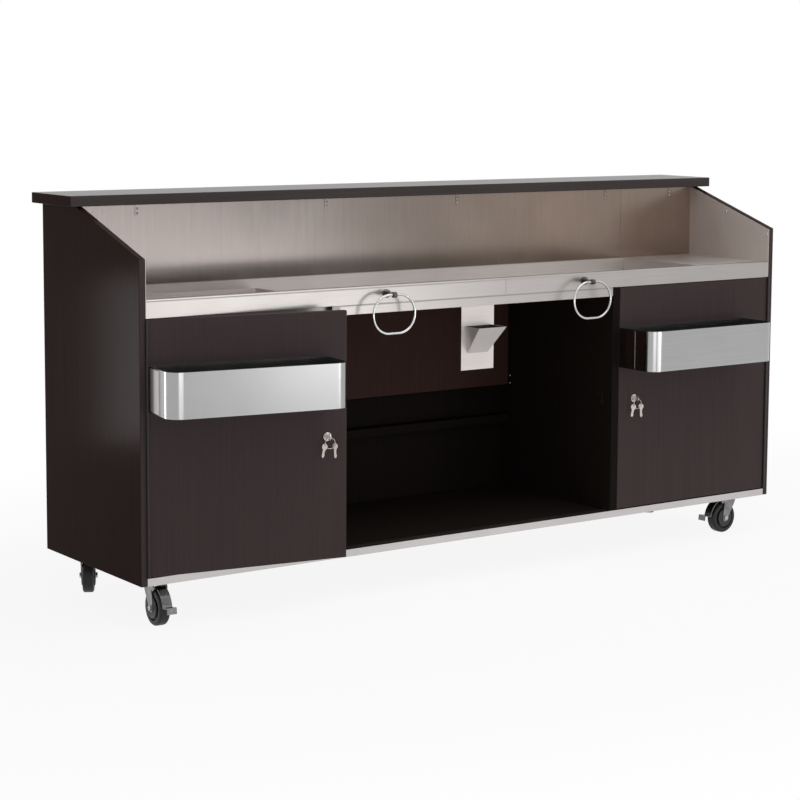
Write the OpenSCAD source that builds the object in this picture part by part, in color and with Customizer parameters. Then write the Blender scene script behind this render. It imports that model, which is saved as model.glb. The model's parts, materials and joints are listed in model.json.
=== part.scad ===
// Mobile bar unit: a laminate cabinet on four swivel casters, with a raised bar top on the
// customer's side and a stainless work deck, two doors with speed rails and an open bay behind it.
// Millimetres, +Z up. The bartender stands on the -Y side, and +X runs to the bartender's right.
// The origin lies on the floor under the middle of the unit's bounding box.

/* [Cabinet] */
// Width over the two end panels
unit_w = 2320; // [2150:1:2500]
// Depth of the end panels, front edge to customer side
panel_d = 572; // [520:1:640]
// Thickness of the laminate panels
panel_t = 19; // [16:1:24]
// Depth of the sloped corner of the end panels
slope_run = 365; // [320:1:366]
// Thickness of the base shelf
base_t = 18; // [16:1:22]
// Thickness of the two walls beside the bay
wall_t = 25; // [19:1:30]
// Clear width of the left cabinet
left_cab_w = 588; // [575:1:640]
// Clear width of the open bay, two glass racks side by side
bay_w = 1008; // [940:1:1060]

/* [Bar top] */
// Thickness of the bar top
bar_t = 30; // [24:1:45]
// Depth of the bar top
bar_d = 245; // [200:1:270]
// Overhang of the bar top past each end panel
bar_end_over = 30; // [10:1:60]
// Overhang of the bar top on the customer's side
bar_back_over = 7; // [2:1:40]

/* [Work deck] */
// Height of the deck above the underside of the end panels
deck_h = 770; // [740:1:800]
// Rise of the end panels' front edge above the deck
front_rise = 107; // [80:1:130]
// Height of the bar top's underside above the deck
splash_h = 228; // [200:1:290]
// Depth of the deck from its front face to the backsplash
deck_d = 374; // [370:1:390]
// Sheet thickness of the deck
deck_t = 1.5; // [1:0.1:2.5]
// Height of the front apron
apron_drop = 50; // [40:1:60]
// Depth of the sunken glass well
well_drop = 40; // [20:1:45]
// Width of the end deck at the left
left_deck_w = 105; // [80:1:120]
// Width of the end deck at the right
right_deck_w = 300; // [200:1:400]
// Width of the rim between the apron and the well
front_rim = 18; // [14:1:24]
// Width of the rim between the well and the backsplash
rear_rim = 8; // [6:1:20]
// Height of the lower lip across the bay, below the apron
lip_drop = 28; // [15:1:40]
// Distance of the lip behind the apron's front face
lip_set = 2; // [1.6:0.1:6]
// Thickness of the backsplash and side liner sheets
liner_t = 1.2; // [0.8:0.1:2]

/* [Ice bin] */
// Gap between the ice bin's jacket and the bay's left wall
bin_gap = 18; // [10:1:60]
// Depth of the ice bin inside, measured down from the well's floor
bin_drop = 235; // [150:1:260]
// Thickness of the insulating jacket
jacket_t = 18; // [10:1:20]
// Radius of the drain tail
drain_r = 12.7; // [10:0.1:16]
// Length of drain tail below the jacket
drain_len = 60; // [40:1:80]

/* [Doors] */
// Thickness of the doors
door_t = 18; // [16:1:22]
// Gap round the doors' free edges
door_gap = 3; // [2:0.5:5]
// Angle at which the left door stands ajar
left_door_ajar = 8.5; // [0:0.5:15]
// Radius of the hinge knuckles
knuckle_r = 4; // [3.5:0.1:5]
// Radius of the hinge pins
hinge_pin_r = 1.5; // [1.2:0.1:2]
// Number of knuckles on each hinge
knuckle_count = 13; // [9:2:17]
// Thickness of the hinge leaves
leaf_t = 1; // [0.8:0.1:1.4]

/* [Speed rails] */
// Depth of a speed rail, door face to front
rail_d = 151; // [120:1:160]
// Height of a speed rail
rail_h = 123; // [90:1:140]
// Height of a speed rail's bottom above the underside of the end panels
rail_z = 470; // [440:1:500]
// Corner radius of a speed rail
rail_r = 40; // [15:1:45]
// Sheet thickness of a speed rail
rail_t = 1.5; // [1:0.1:2.5]
// Distance of the left rail from the hinge edge of its door
left_rail_in = 5.5; // [5:0.5:40]
// Distance of the left rail from the free edge of its door
left_rail_free = 57.5; // [0:0.5:80]
// Distance of the right rail from the hinge edge of its door
right_rail_in = 111; // [5:0.5:130]
// Distance of the right rail from the free edge of its door
right_rail_free = 0; // [0:0.5:40]

/* [Locks] */
// Radius of a lock barrel
barrel_r = 9.5; // [8:0.1:11]
// Radius of the turning plug
plug_r = 6.5; // [5:0.1:7]
// Distance of the lock from the door's free edge
lock_inset = 60; // [56:1:80]
// Height of the lock above the underside of the end panels
lock_z = 369; // [330:1:400]
// Length of the cam from the plug's axis
cam_len = 51; // [48:1:54]

/* [Towel rings] */
// Radius of a ring's round ends at the middle of its wire
ring_r = 55; // [45:1:60]
// Length of a ring's straight sides
ring_flat = 33; // [24:1:50]
// Radius of the ring wire
ring_wire_r = 3.5; // [2.5:0.1:4]
// Distance of the rings from the apron
ring_reach = 40; // [30:1:60]
// Distance of the left ring from the bay's left wall
left_ring_in = 158; // [100:1:250]
// Distance of the right ring from the bay's right wall
right_ring_in = 118; // [100:1:250]

/* [Cap catcher] */
// Width of the cap catcher's plate
cap_w = 119; // [90:1:140]
// Height of the plate below the lip
cap_h = 188; // [160:1:220]
// Distance of the plate's middle from the bay's left wall
cap_in = 487.5; // [400:0.5:560]
// Reach of the hopper in front of the plate
hopper_reach = 70; // [40:1:80]
// Height of the hopper
hopper_h = 81; // [60:1:100]
// Distance of the hopper's sides from the plate's edges at the rim
hopper_in = 9.5; // [4:0.5:14]
// Inward slope of each side from the rim to the foot
hopper_taper = 13; // [4:0.5:20]

/* [Casters] */
// Height from the floor to the base shelf's underside
caster_h = 129.5; // [125:0.5:140]
// Wheel diameter
wheel_d = 100; // [92:1:102]
// Wheel width over the tyre
wheel_w = 32; // [26:1:36]
// Radius of the axles
axle_r = 5; // [4:0.1:6]
// Trail from the swivel axis to the axle
trail = 28; // [24:1:32]
// Distance of the swivel axes from the unit's ends
caster_in = 86; // [80:1:140]
// Distance of the front swivel axes from the front edge
caster_front = 95; // [80:1:120]
// Distance of the rear swivel axes from the customer side
caster_back = 88; // [80:1:140]

/* [Hidden] */
$fn = 64;

// Overrun of every cut past the face that it opens
over = 1;
// Running clearance of pins, axles and plugs in their bores
run_fit = 0.05;
// Clearance between loose neighbours
loose_fit = 0.3;

// Heights, from the floor
strip_t = 1.5;
strip_depth = 40;
panel_z = caster_h - strip_t;
base_top = caster_h + base_t;
strip_top = base_top + strip_t;
deck_z = panel_z + deck_h;
front_z = deck_z + front_rise;
bar_z = deck_z + splash_h;
apron_z = deck_z - apron_drop;
well_z = deck_z - well_drop;
lip_z = apron_z - lip_drop;

// Places across the unit, from the left end panel's outer face
in_l = panel_t;
in_r = unit_w - panel_t;
back_y = panel_d - panel_t;
left_wall_x = in_l + left_cab_w;
bay_l = left_wall_x + wall_t;
bay_r = bay_l + bay_w;
right_wall_end = bay_r + wall_t;

// Upper panel and stretcher at the back of the bay
skirt_t = 12;
skirt_set = 33;
skirt_z = 485;
stretcher_d = 43;
stretcher_h = 25;
stretcher_z = 363;
shelf_t = 18;
shelf_z = 400;
shelf_front = 45;
cleat_w = 18;
cleat_h = 30;

// Deck folds and the well
fold_r = 8;
apron_return = 12;
wall_gap = 0.3;
liner_reveal = 3;
deck_l = in_l + liner_t;
deck_r = in_r - liner_t;
well_l = deck_l + left_deck_w;
well_r = deck_r - right_deck_w;
well_back = deck_d - rear_rim;
lip_t = 1.5;

// Ice bin
bin_t = 1.2;
bin_flange = 12;
bin_end_set = 14;
bin_front_set = 26;
bin_corner_r = 12;
bin_rim_h = 14;
bin_edge = bin_t + loose_fit;
bin_l = well_l + bin_end_set;
bin_r = left_wall_x - bin_gap - jacket_t - bin_edge;
bin_front = front_rim + bin_front_set;
bin_back = well_back - bin_end_set;
bin_z = well_z - bin_drop;
jacket_z = bin_z - bin_t - jacket_t;
drain_wall = 2.2;
drain_flange_r = 24;
drain_flange_t = 2;
drain_collar_r = 20;
drain_collar_h = 10;

// Doors in a frame of their own: the hinge axis is at zero, the door runs along +X
leaf_play = 1;
leaf_w = 17;
hinge_set = leaf_t + leaf_play / 2;
hinge_y = -knuckle_r;
left_hinge_x = in_l + hinge_set;
right_hinge_x = in_r - hinge_set;
left_door_w = left_wall_x - door_gap - left_hinge_x - hinge_set;
right_door_w = right_hinge_x - hinge_set - right_wall_end - door_gap;
door_z = strip_top + door_gap;
door_h = apron_z - door_gap - door_z;
door_front = knuckle_r;
door_back = knuckle_r + door_t;
knuckle_gap = 0.4;
knuckle_len = door_h / knuckle_count;
leaf_clear = 0.3;

// Speed rails
rail_hem = 9;
rail_z0 = panel_z + rail_z;

// Locks and keys
lock_h = panel_z + lock_z;
flange_lip = 2.5;
flange_r = barrel_r + flange_lip;
flange_t = 3;
barrel_tail = 4;
barrel_fit = 0.3;
nut_lip = 4.5;
nut_r = barrel_r + nut_lip;
nut_t = 3.5;
cam_w = 15;
cam_t = 2.5;
cam_gap = 1;
tang_w = 6;
key_slot_w = 2.4;
key_slot_h = 9;
key_t = 2;
key_bow_r = 10;
key_bow_out = 12;
key_hole_r = 2.2;
key_hole_out = 5.5;
key_shank_w = 7;
key_len = 38;
key_ring_r = 15;
key_spread = 25;
tag_r = 10;
key_wire_r = 0.9;
key_hang = key_hole_r - key_wire_r - loose_fit;
spare_hang = key_hang / 2;
cam_front = door_back + barrel_tail + cam_gap;
strike_reach = 24;
strike_t = 2;
strike_h = 32;
strike_d = 26;
strike_set = 2;
backing_w = 16;

// Towel rings
ring_drop = 24.5;
ring_z = deck_z - ring_drop;
post_base_r = 12.5;
post_base_t = 4;
post_r = 5.5;
eye_r = 8;
eye_len = 11;
eye_play = 0.1;
left_ring_x = bay_l + left_ring_in;
right_ring_x = bay_r - right_ring_in;

// Cap catcher
cap_t = 1.2;
cap_x = bay_l + cap_in;
cap_tuck = 24;
cap_y = lip_set + lip_t;
hopper_drop = 58;
hopper_top = lip_z - hopper_drop;

// Casters
plate_w = 66;
plate_l = 86;
plate_t = 3;
bolt_r = 4;
bolt_fit = 0.2;
bolt_head_r = 6.5;
bolt_head_h = 5;
bolt_in = 11;
race_r = 22;
race_h = 8;
king_r = 6;
king_head_r = 10;
king_head_h = 3;
crown_t = 4;
crown_r = 25;
leg_t = 3;
leg_end_r = 12;
leg_top_w = 30;
hub_gap = 0.4;
hub_proud = 1.5;
hub_w = wheel_w + 2 * hub_proud;
leg_in = hub_w / 2 + hub_gap;
leg_out = leg_in + leg_t;
axle_head_r = 8.5;
axle_head_h = 5;
axle_z = wheel_d / 2;
plate_z = caster_h - plate_t;
race_z = plate_z - race_h;
crown_top = race_z - loose_fit;
crown_z = crown_top - crown_t;
tread_t = 14;
hub_r = wheel_d / 2 - tread_t;
tyre_edge_r = 7;
rim_dish = 6;

// Brake pedals
pedal_pin_r = 2.5;
pedal_boss_r = 4.5;
pedal_w = 28;
pedal_t = 3.5;
pedal_gap = 10;
pedal_toe = 30;
pedal_toe_angle = 8;
pedal_lip = 14;
pedal_top_angle = 78;
ear_r = 7.5;
pedal_r = wheel_d / 2 + pedal_gap;
pedal_pin_x = trail + (pedal_r - pedal_boss_r / 2) * cos(pedal_top_angle);
pedal_pin_z = axle_z + (pedal_r - pedal_boss_r / 2) * sin(pedal_top_angle);

// Casters: place and heading, the side to which the wheel trails
caster_x = [caster_in, unit_w - caster_in, caster_in, unit_w - caster_in];
caster_y = [caster_front, caster_front, panel_d - caster_back, panel_d - caster_back];
caster_heading = [267, 182, 60, 235];

// Reach of the unit to the front, at the ajar left rail's outer corner, and to the back
rail_end = hinge_set + left_door_w - left_rail_free;
arc_x = rail_end - rail_r;
arc_y = door_front - rail_d + rail_r;
front_reach = hinge_y - arc_x * sin(left_door_ajar) + arc_y * cos(left_door_ajar) - rail_r;
back_reach = panel_d + bar_back_over;
middle_y = (front_reach + back_reach) / 2;

laminate = "#3a2c29";
laminate_edge = "#4a3d3a";
steel = "#c9c4bf";
zinc = "#b9bdc1";
chrome = "#e3e6ea";
black_steel = "#2c2b2c";
rubber = "#1d1c1d";
foam = "#d8d2c0";

// Moves a shape from the left front corner of the cabinet to the unit's own frame
module placed() {
    translate([-unit_w / 2, -middle_y, 0]) children();
}

// Block between two corners
module span(low, high) {
    translate(low) cube(high - low);
}

// Outline in Y and Z, drawn out along X from x0 to x1
module along_x(x0, x1) {
    translate([x0, 0, 0]) rotate([90, 0, 90]) linear_extrude(x1 - x0) children();
}

// Outline in X and Z, drawn out along Y from y0 to y1
module across(y0, y1) {
    translate([0, y1, 0]) rotate([90, 0, 0]) linear_extrude(y1 - y0) children();
}

// Rectangle with round corners
module round_rect(low, high, r) {
    translate([low.x + r, low.y]) square([high.x - low.x - 2 * r, high.y - low.y]);
    translate([low.x, low.y + r]) square([high.x - low.x, high.y - low.y - 2 * r]);
    for (x = [low.x + r, high.x - r], y = [low.y + r, high.y - r]) translate([x, y]) circle(r);
}

// Cabinet panels

module end_panel(x0) {
    along_x(x0, x0 + panel_t) polygon([
        [0, panel_z], [panel_d, panel_z], [panel_d, bar_z], [slope_run, bar_z], [0, front_z]
    ]);
}

module left_end_panel() color(laminate) placed() end_panel(0);
module right_end_panel() color(laminate) placed() end_panel(in_r);

module customer_panel() {
    color(laminate) placed() span([in_l, back_y, panel_z], [in_r, panel_d, bar_z]);
}

module bar_top() {
    color(laminate) placed() span(
        [-bar_end_over, panel_d + bar_back_over - bar_d, bar_z],
        [unit_w + bar_end_over, panel_d + bar_back_over, bar_z + bar_t]
    );
}

// Runs its child at the four bolts of every caster
module at_bolts() {
    for (i = [0 : 3], a = [-1, 1], b = [-1, 1])
        translate([
            caster_x[i] + a * (plate_l / 2 - bolt_in),
            caster_y[i] + b * (plate_w / 2 - bolt_in),
            0
        ]) children();
}

module base_shelf() {
    color(laminate_edge) placed() difference() {
        span([in_l, strip_t, caster_h], [in_r, back_y, base_top]);
        at_bolts() translate([0, 0, caster_h - over])
            cylinder(r = bolt_r + bolt_fit, h = base_t + 2 * over);
    }
}

// Channel of stainless sheet round the base shelf's front edge
module strip_outline() {
    difference() {
        translate([0, panel_z]) square([strip_depth, strip_top - panel_z]);
        translate([strip_t, caster_h]) square([strip_depth, base_t]);
    }
}

module base_edge_strip() {
    color(steel) placed() along_x(in_l, in_r) strip_outline();
}

// Wall beside the bay, notched over the edge strip
module bay_wall(x0) {
    difference() {
        span([x0, 0, base_top], [x0 + wall_t, back_y, apron_z]);
        span([x0 - over, -over, base_top - over], [x0 + wall_t + over, strip_depth, strip_top]);
    }
}

module left_bay_wall() color(laminate) placed() bay_wall(left_wall_x);
module right_bay_wall() color(laminate) placed() bay_wall(bay_r);

module bay_skirt() {
    color(laminate) placed() span(
        [bay_l, back_y - skirt_set, skirt_z],
        [bay_r, back_y - skirt_set + skirt_t, apron_z]
    );
}

module rear_stretcher() {
    color(laminate_edge) placed() span(
        [bay_l, back_y - stretcher_d, stretcher_z],
        [bay_r, back_y, stretcher_z + stretcher_h]
    );
}

module right_cabinet_shelf() {
    color(laminate) placed() span(
        [right_wall_end + loose_fit, shelf_front, shelf_z],
        [in_r - loose_fit, back_y - loose_fit, shelf_z + shelf_t]
    );
}

// Battens that carry the shelf on the wall and on the end panel
module shelf_cleats() {
    color(laminate_edge) placed() for (x0 = [right_wall_end, in_r - cleat_w])
        span([x0, shelf_front, shelf_z - cleat_h], [x0 + cleat_w, back_y, shelf_z]);
}

// Stainless work area

module backsplash() {
    color(steel) placed() span([deck_l, deck_d, apron_z], [deck_r, deck_d + liner_t, bar_z]);
}

module side_liner(x0) {
    rear = deck_d + liner_t;
    top_y = min(rear, slope_run * (1 + liner_reveal / (bar_z - front_z)));
    along_x(x0, x0 + liner_t) polygon([
        [0, apron_z], [rear, apron_z], [rear, bar_z], [top_y, bar_z], [0, front_z - liner_reveal]
    ]);
}

module side_liners() {
    color(steel) placed() for (x0 = [in_l, deck_r]) side_liner(x0);
}

// Folded front: apron, bull-nosed top edge, rim and the return under the apron
module apron_outline() {
    translate([0, apron_z]) square([deck_t, apron_drop - fold_r]);
    translate([0, apron_z]) square([apron_return, deck_t]);
    translate([fold_r, deck_z - deck_t]) square([front_rim - fold_r, deck_t]);
    intersection() {
        translate([0, deck_z - fold_r]) square(fold_r);
        translate([fold_r, deck_z - fold_r]) difference() {
            circle(fold_r);
            circle(fold_r - deck_t);
        }
    }
}

// Plan of the ice bin, grown on all sides by a margin
module bin_plan(grow) {
    round_rect([bin_l - grow, bin_front - grow], [bin_r + grow, bin_back + grow], bin_corner_r + grow);
}

// Deck sheets: the folded front, the rear rim with its flange, and the strips beside the ice bin
module work_deck() {
    low = well_z - deck_t;
    color(steel) placed() {
        along_x(deck_l, deck_r) apron_outline();
        span([deck_l, well_back, deck_z - deck_t], [deck_r, deck_d, deck_z]);
        span([deck_l, deck_d - deck_t, apron_z], [deck_r, deck_d, deck_z]);
        span([bin_l - bin_edge, front_rim - deck_t, low], [bin_r + bin_edge, bin_front - bin_edge, well_z]);
        span([bin_l - bin_edge, bin_back + bin_edge, low], [bin_r + bin_edge, well_back + deck_t, well_z]);
    }
}

// Flat sheets: the two end decks, and the well's floor at both ends of the ice bin
module deck_plates() {
    front = front_rim - deck_t;
    back = well_back + deck_t;
    color(steel) placed() {
        span([deck_l, front_rim, deck_z - deck_t], [well_l, well_back, deck_z]);
        span([well_r, front_rim, deck_z - deck_t], [deck_r, well_back, deck_z]);
        span([well_l - deck_t, front, well_z - deck_t], [bin_l - bin_edge, back, well_z]);
        span([bin_r + bin_edge, front, well_z - deck_t], [well_r + deck_t, back, well_z]);
    }
}

// Four upright sheets round the well, between its floor and the rims
module well_walls() {
    top = deck_z - deck_t;
    color(steel) placed() {
        for (y = [front_rim - deck_t, well_back])
            span([well_l - deck_t, y, well_z], [well_r + deck_t, y + deck_t, top]);
        for (x = [well_l - deck_t, well_r])
            span([x, front_rim + wall_gap, well_z], [x + deck_t, well_back - wall_gap, top]);
    }
}

// Strip below the apron's return, a little behind its face, across the bay
module bay_lip() {
    color(steel) placed() span([bay_l, lip_set, lip_z], [bay_r, lip_set + lip_t, apron_z]);
}

// Middle of the ice bin's drain
module at_drain() {
    translate([(bin_l + bin_r) / 2, (bin_front + bin_back) / 2, 0]) children();
}

// Drop-in liner with a flange on the well's floor and a raised rim
module ice_bin() {
    color(steel) placed() difference() {
        union() {
            translate([0, 0, bin_z - bin_t]) linear_extrude(bin_drop + bin_t + bin_rim_h) bin_plan(bin_t);
            translate([0, 0, well_z]) linear_extrude(bin_t) bin_plan(bin_flange);
        }
        translate([0, 0, bin_z]) linear_extrude(bin_drop + bin_rim_h + over) bin_plan(0);
        at_drain() translate([0, 0, bin_z - bin_t - over])
            cylinder(r = drain_r + run_fit, h = bin_t + 2 * over);
    }
}

// Foam jacket under the well's floor
module ice_bin_jacket() {
    color(foam) placed() difference() {
        translate([0, 0, jacket_z]) linear_extrude(well_z - deck_t - jacket_z) bin_plan(bin_edge + jacket_t);
        translate([0, 0, bin_z - bin_t]) linear_extrude(bin_drop + over) bin_plan(bin_edge);
        at_drain() translate([0, 0, jacket_z - over])
            cylinder(r = drain_r + run_fit, h = jacket_t + 2 * over);
    }
}

// Drain spud: flange in the bin, tail for a hose and a collar under the jacket
module ice_bin_drain() {
    tail_z = jacket_z - drain_len;
    color(chrome) placed() at_drain() difference() {
        union() {
            translate([0, 0, bin_z]) cylinder(r = drain_flange_r, h = drain_flange_t);
            translate([0, 0, tail_z]) cylinder(r = drain_r, h = bin_z - tail_z + drain_flange_t);
            translate([0, 0, jacket_z - drain_collar_h])
                cylinder(r = drain_collar_r, h = drain_collar_h, $fn = 6);
        }
        translate([0, 0, tail_z - over])
            cylinder(r = drain_r - drain_wall, h = bin_z - tail_z + drain_flange_t + 2 * over);
    }
}

// Towel rings and cap catcher

// Frame at a ring's eye, where X runs along the eye's hole
module at_eye(x) {
    translate([x, -ring_reach, ring_z]) children();
}

module ring_post(x) {
    difference() {
        union() {
            translate([x, 0, ring_z]) rotate([90, 0, 0]) cylinder(r = post_base_r, h = post_base_t);
            translate([x, 0, ring_z]) rotate([90, 0, 0]) cylinder(r = post_r, h = ring_reach);
            at_eye(x) rotate([0, 90, 0]) cylinder(r = eye_r, h = eye_len, center = true);
        }
        at_eye(x) rotate([0, 90, 0])
            cylinder(r = ring_wire_r + eye_play, h = eye_len + 2 * eye_r, center = true);
    }
}

module ring_posts() {
    color(chrome) placed() for (x = [left_ring_x, right_ring_x]) ring_post(x);
}

// Oval ring of round wire, hanging from the straight side in its eye
module towel_ring(x) {
    at_eye(x) translate([0, 0, -ring_r]) {
        for (side = [-1, 1]) {
            translate([0, 0, side * ring_r]) rotate([0, 90, 0])
                cylinder(r = ring_wire_r, h = ring_flat, center = true, $fn = 32);
            translate([side * ring_flat / 2, 0, 0]) rotate([90, 0, 0]) rotate([0, 0, -side * 90])
                rotate_extrude(angle = 180) translate([ring_r, 0]) circle(ring_wire_r, $fn = 32);
        }
    }
}

module left_towel_ring() color(chrome) placed() towel_ring(left_ring_x);
module right_towel_ring() color(chrome) placed() towel_ring(right_ring_x);

// Wedge in Y and Z, drawn in by an inset and run out past its rim and back by a rise
module hopper_side(inset, rise) {
    slope = hopper_h / (hopper_reach + cap_y);
    lip = inset - hopper_reach - rise / slope;
    back = cap_y + cap_t / 2 + rise;
    top = hopper_top + rise;
    polygon([[back, top], [lip, top], [back, top - slope * (back - lip)]]);
}

// Hopper from the front: narrower at its foot than at its rim
module hopper_front(inset, rise) {
    half = cap_w / 2 - hopper_in - inset;
    rim = half + hopper_taper * rise / hopper_h;
    foot = half - hopper_taper;
    top = hopper_top + rise;
    bottom = hopper_top - hopper_h;
    translate([cap_x, 0]) polygon([[-rim, top], [rim, top], [foot, bottom], [-foot, bottom]]);
}

module hopper(inset, rise) {
    intersection() {
        along_x(cap_x - cap_w, cap_x + cap_w) hopper_side(2 * inset, rise);
        across(-2 * hopper_reach, hopper_reach) hopper_front(inset, rise);
    }
}

module cap_catcher() {
    color(steel) placed() {
        span(
            [cap_x - cap_w / 2, cap_y, lip_z - cap_h],
            [cap_x + cap_w / 2, cap_y + cap_t, lip_z + cap_tuck]
        );
        difference() {
            hopper(0, 0);
            hopper(cap_t, over);
        }
    }
}

// Doors, in the frame of their own hinge

module at_left_hinge() {
    translate([left_hinge_x, hinge_y, 0]) rotate([0, 0, -left_door_ajar]) children();
}

module at_left_frame() {
    translate([left_hinge_x, hinge_y, 0]) children();
}

module at_right_hinge() {
    translate([right_hinge_x, hinge_y, 0]) mirror([1, 0, 0]) children();
}

module door_panel(w) {
    difference() {
        span([hinge_set, door_front, door_z], [hinge_set + w, door_back, door_z + door_h]);
        at_lock(w) translate([0, -over, 0]) rotate([-90, 0, 0])
            cylinder(r = barrel_r + barrel_fit, h = door_t + 2 * over);
    }
}

module left_door() color(laminate) placed() at_left_hinge() door_panel(left_door_w);
module right_door() color(laminate) placed() at_right_hinge() door_panel(right_door_w);

// Leaf of a continuous hinge: first is 0 for the frame's knuckles and 1 for the door's
module hinge_leaf(first, x0) {
    difference() {
        union() {
            span(
                [x0, door_front + leaf_clear, door_z],
                [x0 + leaf_t, door_front + leaf_w, door_z + door_h]
            );
            for (k = [first : 2 : knuckle_count - 1])
                translate([0, 0, door_z + k * knuckle_len + knuckle_gap / 2]) {
                    cylinder(r = knuckle_r, h = knuckle_len - knuckle_gap, $fn = 32);
                    translate([x0, 0, 0])
                        cube([leaf_t, door_front + leaf_clear + leaf_t, knuckle_len - knuckle_gap]);
                }
        }
        translate([0, 0, door_z - over]) cylinder(r = hinge_pin_r + run_fit, h = door_h + 2 * over);
    }
}

module frame_leaves() {
    color(black_steel) placed() {
        at_left_frame() hinge_leaf(0, -hinge_set);
        at_right_hinge() hinge_leaf(0, -hinge_set);
    }
}

module left_door_leaf() {
    color(black_steel) placed() at_left_hinge() hinge_leaf(1, hinge_set - leaf_t);
}

module right_door_leaf() {
    color(black_steel) placed() at_right_hinge() hinge_leaf(1, hinge_set - leaf_t);
}

module hinge_pins() {
    color(black_steel) placed() for (x = [left_hinge_x, right_hinge_x])
        translate([x, hinge_y, door_z]) cylinder(r = hinge_pin_r, h = door_h);
}

// Plan of a speed rail from x0 to x1, drawn in from its outside by an inset
module rail_plan(x0, x1, inset) {
    r = rail_r - inset;
    front = door_front - rail_d + inset;
    left = x0 + inset;
    right = x1 - inset;
    depth = door_front - inset - front;
    translate([left, front + r]) square([right - left, depth - r]);
    translate([left + r, front]) square([right - left - 2 * r, depth]);
    intersection() {
        translate([left, front]) square([right - left, r]);
        for (x = [left + r, right - r]) translate([x, front + r]) circle(r);
    }
}

// Open trough with a folded hem round its rim, from x0 to x1 along its door
module speed_rail(x0, x1) {
    translate([0, 0, rail_z0]) difference() {
        linear_extrude(rail_h) rail_plan(x0, x1, 0);
        translate([0, 0, rail_t]) linear_extrude(rail_h - rail_hem - rail_t) rail_plan(x0, x1, rail_t);
        translate([0, 0, rail_h / 2]) linear_extrude(rail_h) rail_plan(x0, x1, 2 * rail_t);
    }
}

module left_speed_rail() {
    color(steel) placed() at_left_hinge() speed_rail(hinge_set + left_rail_in, rail_end);
}

module right_speed_rail() {
    color(steel) placed() at_right_hinge()
        speed_rail(hinge_set + right_rail_in, hinge_set + right_door_w - right_rail_free);
}

// Cam locks: zero is on the door's front face, on the plug's axis
module at_lock(w) {
    translate([hinge_set + w - lock_inset, door_front, lock_h]) children();
}

// Cylinder from y0 to y1 along the lock's axis
module along_lock(r, y0, y1) {
    translate([0, y0, 0]) rotate([-90, 0, 0]) cylinder(r = r, h = y1 - y0);
}

module lock_barrel() {
    difference() {
        union() {
            along_lock(flange_r, -flange_t, 0);
            along_lock(barrel_r, 0, door_t + barrel_tail);
            translate([0, door_t, 0]) rotate([-90, 0, 0]) cylinder(r = nut_r, h = nut_t, $fn = 6);
        }
        along_lock(plug_r + run_fit, -flange_t - over, door_t + barrel_tail + over);
    }
}

module lock_plug() {
    rear = door_t + barrel_tail + cam_gap + cam_t;
    difference() {
        union() {
            along_lock(plug_r, -flange_t, door_t + barrel_tail + cam_gap);
            translate([-tang_w / 2, 0, -tang_w / 2]) cube([tang_w, rear, tang_w]);
        }
        translate([-key_slot_w / 2, -flange_t - over, -key_slot_h / 2])
            cube([key_slot_w, door_t, key_slot_h]);
    }
}

// Cam on the plug's square tang, hanging down while the door is unlocked
module lock_cam() {
    front = door_t + barrel_tail + cam_gap;
    difference() {
        union() {
            along_lock(cam_w / 2, front, front + cam_t);
            translate([-cam_w / 2, front, -cam_len]) cube([cam_w, cam_t, cam_len]);
        }
        translate([-tang_w / 2, front - over, -tang_w / 2]) cube([tang_w, cam_t + 2 * over, tang_w]);
    }
}

// Outline of a key: bow round zero with its ring hole, and a blade along +X
module key_outline(length) {
    difference() {
        union() {
            circle(key_bow_r);
            translate([0, -key_shank_w / 2]) square([length, key_shank_w]);
        }
        translate([-key_hole_out, 0]) circle(key_hole_r);
    }
}

// Key in the plug, its bow standing upright in front of the lock
module lock_key() {
    translate([-key_t / 2, -flange_t - key_bow_out, 0]) rotate([90, 0, 90]) linear_extrude(key_t)
        key_outline(key_bow_out + door_t - 2 * over);
}

// Frame of a piece that hangs on the key ring, at an angle from the ring's lowest point
module on_key_ring(a) {
    translate([key_ring_r * sin(a) - key_t / 2, 0, -key_ring_r * cos(a) - spare_hang - key_hole_out])
        rotate([90, 0, 90]) linear_extrude(key_t) rotate(-90) children();
}

// Ring through the key's bow, with the spare key and a plain tag hanging on it
module spare_key() {
    translate([0, -flange_t - key_bow_out - key_hole_out, -key_hang - key_ring_r]) {
        rotate([90, 0, 0]) rotate_extrude() translate([key_ring_r, 0]) circle(key_wire_r, $fn = 24);
        on_key_ring(key_spread) key_outline(key_len);
        on_key_ring(-key_spread) difference() {
            circle(tag_r);
            translate([-key_hole_out, 0]) circle(key_hole_r);
        }
    }
}

module left_lock_barrel() color(chrome) placed() at_left_hinge() at_lock(left_door_w) lock_barrel();
module left_lock_plug() color(chrome) placed() at_left_hinge() at_lock(left_door_w) lock_plug();
module left_lock_cam() color(zinc) placed() at_left_hinge() at_lock(left_door_w) lock_cam();
module left_lock_key() color(chrome) placed() at_left_hinge() at_lock(left_door_w) lock_key();
module left_spare_key() color(chrome) placed() at_left_hinge() at_lock(left_door_w) spare_key();
module right_lock_barrel() color(chrome) placed() at_right_hinge() at_lock(right_door_w) lock_barrel();
module right_lock_plug() color(chrome) placed() at_right_hinge() at_lock(right_door_w) lock_plug();
module right_lock_cam() color(zinc) placed() at_right_hinge() at_lock(right_door_w) lock_cam();
module right_lock_key() color(chrome) placed() at_right_hinge() at_lock(right_door_w) lock_key();
module right_spare_key() color(chrome) placed() at_right_hinge() at_lock(right_door_w) spare_key();

// Angle on the cabinet side of a bay wall, which the cam turns in behind
module strike() {
    z0 = lock_h - strike_h / 2;
    y0 = door_t + strike_set;
    span([-strike_t, y0, z0], [0, y0 + strike_d, z0 + strike_h]);
    span([-strike_reach, y0, z0], [0, y0 + strike_t, z0 + strike_h]);
    span([wall_t, y0 + strike_d, z0], [wall_t + strike_t, y0 + strike_d + backing_w, z0 + strike_h]);
}

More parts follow.
